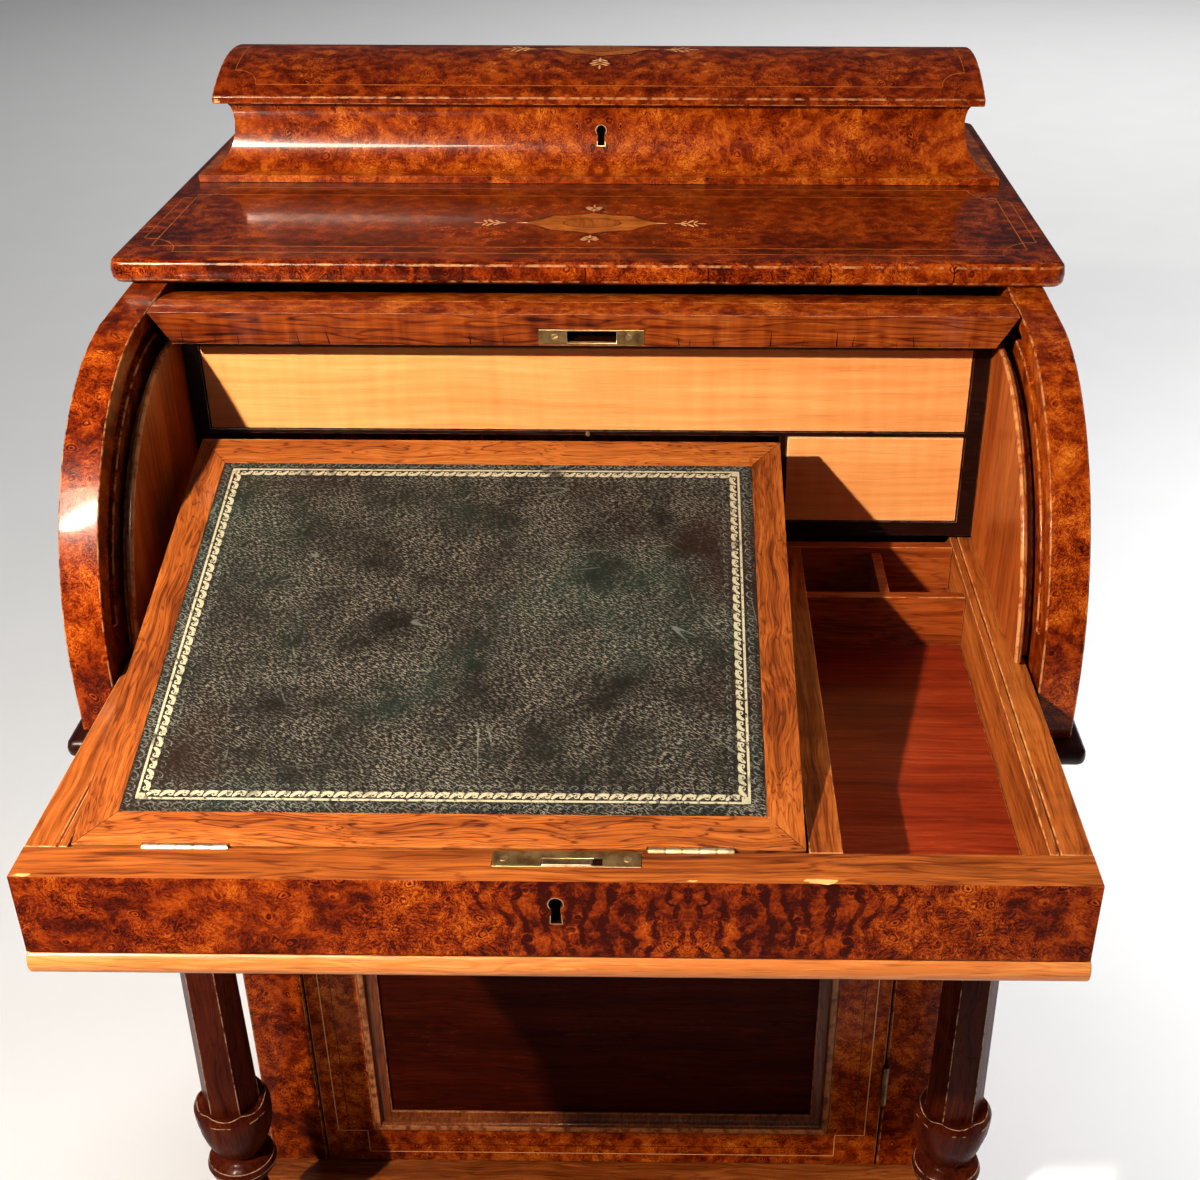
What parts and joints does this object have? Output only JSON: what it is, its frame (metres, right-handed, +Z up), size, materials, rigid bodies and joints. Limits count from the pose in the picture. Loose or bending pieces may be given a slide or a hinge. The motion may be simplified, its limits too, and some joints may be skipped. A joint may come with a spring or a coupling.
{
  "type": "davenport desk",
  "caption": "Davenport writing desk: cylinder fall, pull-out slide with a hinged leather slope, small drawers, lidded stationery box, cupboard and carved columns.",
  "frame": {"origin": "on the floor under the middle of the open desk's box", "axes": "+Z up, the front faces -Y, +X to the right of someone facing the desk"},
  "size_m": [0.58, 0.764, 0.9395],
  "materials": {
    "burr_walnut": "french polished burr veneer",
    "walnut": "polished straight grain",
    "dark_walnut": "dark polished",
    "ebonised_wood": "ebonised",
    "maple": "satin polish",
    "mahogany": "thin polish",
    "pine": "bare, aged",
    "leather": "grained, gold tooled",
    "brass": "aged",
    "steel": "worn"
  },
  "bodies": {
    "carcass": {"top_board": "burr_walnut", "left_end": "burr_walnut", "right_end": "burr_walnut", "left_lining": "walnut", "right_lining": "walnut", "left_base_moulding": "dark_walnut", "right_base_moulding": "dark_walnut", "case_bottom": "pine", "case_back": "pine", "box_front": "burr_walnut", "box_left": "burr_walnut", "box_right": "burr_walnut", "box_back": "walnut", "box_bottom": "mahogany", "lid_hinge": "brass", "fitment_frame": "ebonised_wood", "left_pedestal_side": "burr_walnut", "right_pedestal_side": "burr_walnut", "pedestal_back": "pine", "pedestal_shelf": "pine", "left_pilaster": "burr_walnut", "right_pilaster": "burr_walnut", "door_hinge_lower": "brass", "door_hinge_upper": "brass", "left_column": "dark_walnut", "right_column": "dark_walnut", "plinth_board": "burr_walnut", "plinth_frame": "burr_walnut", "front_left_foot": "dark_walnut", "front_right_foot": "dark_walnut", "back_left_foot": "dark_walnut", "back_right_foot": "dark_walnut"},
    "slide": {"slide_front": "burr_walnut", "slide_bead": "walnut", "slide_left_side": "walnut", "slide_right_side": "walnut", "slide_back": "walnut", "slide_floor": "mahogany", "slide_divider": "walnut", "ink_partition": "walnut", "slide_lock": "brass", "slope_hinge_left": "brass", "slope_hinge_right": "brass"},
    "slope": {"slope_board": "walnut", "slope_leather": "leather"},
    "prop": {"slope_prop": "walnut"},
    "cylinder": {"cylinder_shell": "burr_walnut", "cylinder_edge_rail": "walnut", "cylinder_left_rib": "walnut", "cylinder_right_rib": "walnut", "strike_plate": "brass"},
    "lid": {"lid": "burr_walnut"},
    "door": {"door_frame": "burr_walnut", "door_panel": "ebonised_wood", "door_moulding": "walnut"},
    "upper_drawer": {"upper_drawer_front": "maple", "upper_drawer_box": "mahogany"},
    "lower_drawer": {"lower_drawer_front": "maple", "lower_drawer_box": "mahogany"},
    "bolt": {"lock_bolt": "steel"}
  },
  "joints": [
    {"name": "slide_pull", "type": "slide", "parent": "carcass", "child": "slide", "axis": [0, 1, 0], "range_m": [0, 0.176]},
    {"name": "cylinder_roll", "type": "hinge", "parent": "carcass", "child": "cylinder", "pos_m": [0, -0.035, 0.6818], "axis": [1, 0, 0], "range_deg": [0, 81.6]},
    {"name": "slope_fold", "type": "hinge", "parent": "slide", "child": "slope", "pos_m": [0, -0.3556, 0.6928], "axis": [1, 0, 0], "range_deg": [-14.8, 0]},
    {"name": "prop_fold", "type": "hinge", "parent": "slope", "child": "prop", "pos_m": [-0.0568, -0.16723, 0.72364], "axis": [1, 0, 0], "range_deg": [-35.2, 0]},
    {"name": "lid_hinge_turn", "type": "hinge", "parent": "carcass", "child": "lid", "pos_m": [0, 0.3489, 0.9162], "axis": [-1, 0, 0], "range_deg": [0, 95]},
    {"name": "door_swing", "type": "hinge", "parent": "carcass", "child": "door", "pos_m": [0.22225, -0.0492, 0.38825], "axis": [0, 0, 1], "range_deg": [0, 90]},
    {"name": "upper_drawer_pull", "type": "slide", "parent": "carcass", "child": "upper_drawer", "axis": [0, -1, 0], "range_m": [0, 0.026]},
    {"name": "lower_drawer_pull", "type": "slide", "parent": "carcass", "child": "lower_drawer", "axis": [0, -1, 0], "range_m": [0, 0.06]},
    {"name": "bolt_throw", "type": "slide", "parent": "slide", "child": "bolt", "axis": [0, 0, 1], "range_m": [0, 0.006]}
  ],
  "couplings": [
    {"joint": "cylinder_roll", "follows": "slide_pull", "rad_per_m": 8.092},
    {"joint": "slope_fold", "follows": "slide_pull", "rad_per_m": -1.4677},
    {"joint": "prop_fold", "follows": "slide_pull", "rad_per_m": -3.4907}
  ]
}
